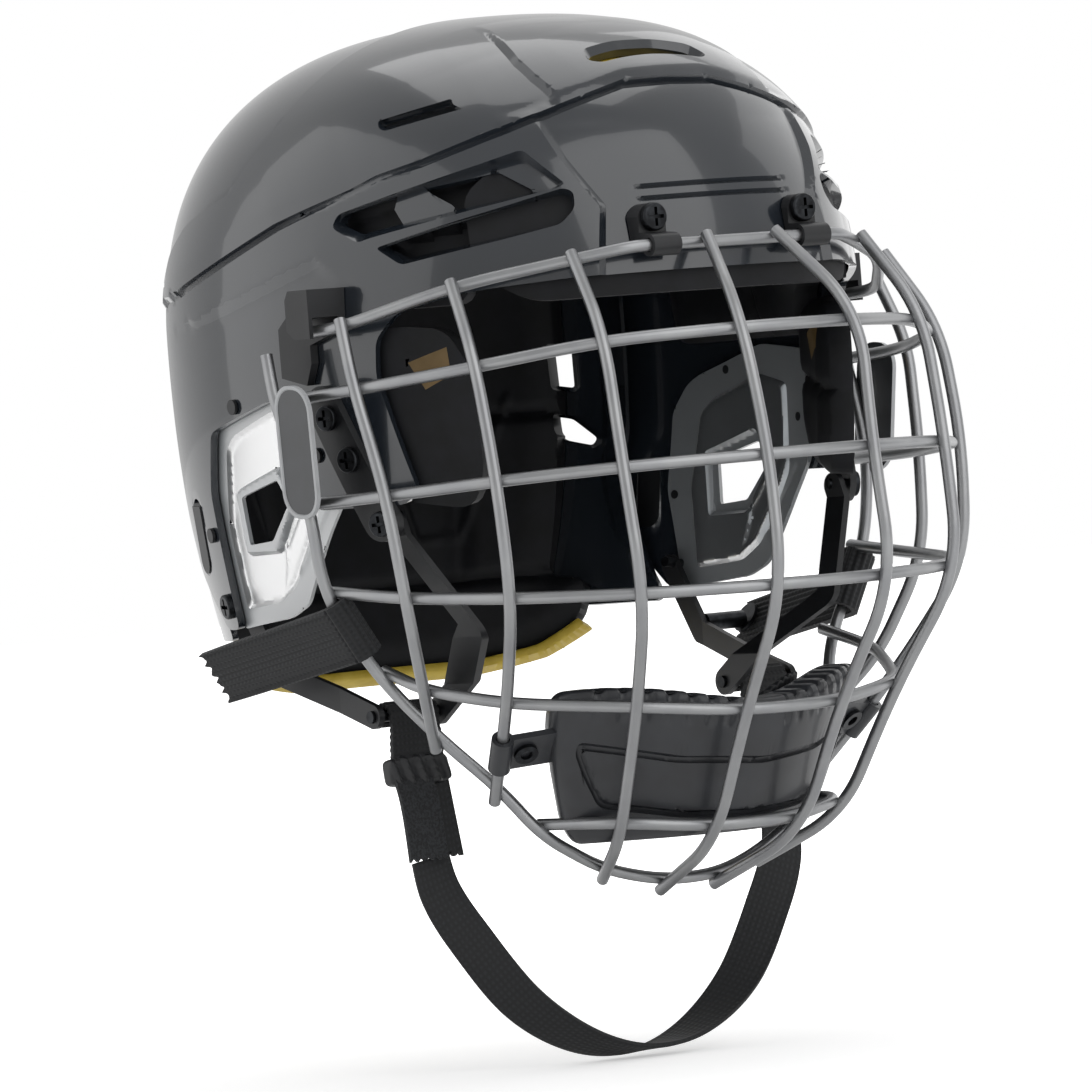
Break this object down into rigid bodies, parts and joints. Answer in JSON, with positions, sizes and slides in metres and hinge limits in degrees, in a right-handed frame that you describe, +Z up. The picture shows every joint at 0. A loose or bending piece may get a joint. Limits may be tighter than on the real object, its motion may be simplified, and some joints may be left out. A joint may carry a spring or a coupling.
{
  "type": "ice hockey helmet with wire face cage",
  "caption": "Ice hockey helmet with a two-part shell, a hinged wire face cage with a chin cup, clear ear covers, foam liner and a swinging chin strap.",
  "frame": {"origin": "inside the head space, midway across, level with the edge of the shell over the brow", "axes": "+Z up as worn, the helmet faces -Y, +X is the wearer's left"},
  "size_m": [0.2436, 0.2914, 0.3492],
  "materials": {
    "shell": "satin",
    "rear_shell": "satin",
    "fittings": "semi-gloss",
    "foam": "matte",
    "accent": "matte",
    "clear": "frosted",
    "wire": "satin",
    "hardware": "dark",
    "webbing": "woven",
    "plate": "satin",
    "cup": "satin"
  },
  "bodies": {
    "helmet": {"front_shell": "shell", "brow_pad": "foam", "front_crown_pad": "foam", "temple_pad_right": "foam", "temple_pad_left": "foam", "side_pad_right": "foam", "side_pad_left": "foam", "ear_cover_right": "clear", "ear_cover_left": "clear", "loop_anchor_right": "fittings", "loop_anchor_left": "fittings", "ear_loop_front_arm_right": "fittings", "ear_loop_front_arm_left": "fittings", "ear_loop_rear_arm_right": "fittings", "ear_loop_rear_arm_left": "fittings", "ear_cover_rivets": "fittings", "forehead_clips": "fittings", "forehead_screws": "hardware", "forehead_nuts": "hardware", "side_hooks": "fittings", "anchor_screws": "hardware", "rear_arm_screws": "hardware", "loop_bars": "hardware", "snap_studs": "hardware"},
    "rear": {"rear_shell": "rear_shell", "rear_crown_pad": "foam", "rear_pad": "foam", "rear_pad_trim": "accent"},
    "cage": {"cage_cross_wire_1": "wire", "cage_cross_wire_2": "wire", "cage_cross_wire_3": "wire", "cage_cross_wire_4": "wire", "cage_cross_wire_5": "wire", "cage_cross_wire_6": "wire", "cage_rim_wire": "wire", "cage_upright_1_right": "wire", "cage_upright_1_left": "wire", "cage_upright_2_right": "wire", "cage_upright_2_left": "wire", "cage_upright_3_right": "wire", "cage_upright_3_left": "wire", "cage_upright_4_right": "wire", "cage_upright_4_left": "wire", "chin_cup": "cup", "chin_cup_liner": "foam", "chin_cup_tab_right": "cup", "chin_cup_tab_left": "cup", "chin_cup_snaps": "hardware", "side_strap_right": "webbing", "side_strap_left": "webbing", "label_plate_right": "plate", "label_plate_left": "plate"},
    "chin_strap": {"strap_tab_right": "fittings", "strap_tab_left": "fittings", "strap_keepers": "fittings", "strap_wraps": "webbing", "chin_webbing": "webbing"},
    "lock_right": {"lock_tab_right": "fittings"},
    "lock_left": {"lock_tab_left": "fittings"}
  },
  "joints": [
    {"name": "size_slide", "type": "slide", "parent": "helmet", "child": "rear", "axis": [0, 1, 0], "range_m": [0, 0.01]},
    {"name": "cage_flip", "type": "hinge", "parent": "helmet", "child": "cage", "pos_m": [0, -0.101, 0.0095], "axis": [-1, 0, 0], "range_deg": [0, 85]},
    {"name": "chin_strap_swing", "type": "hinge", "parent": "helmet", "child": "chin_strap", "pos_m": [0, 0.002, -0.137], "axis": [1, 0, 0], "range_deg": [-20, 40]},
    {"name": "lock_flip_right", "type": "hinge", "parent": "helmet", "child": "lock_right", "pos_m": [-0.09434, 0.0815, -0.0639], "axis": [0.3297, 0.9433, 0.0389], "range_deg": [0, 85]},
    {"name": "lock_flip_left", "type": "hinge", "parent": "helmet", "child": "lock_left", "pos_m": [0.09434, 0.0815, -0.0639], "axis": [0.3297, -0.9433, -0.0389], "range_deg": [0, 85]}
  ]
}
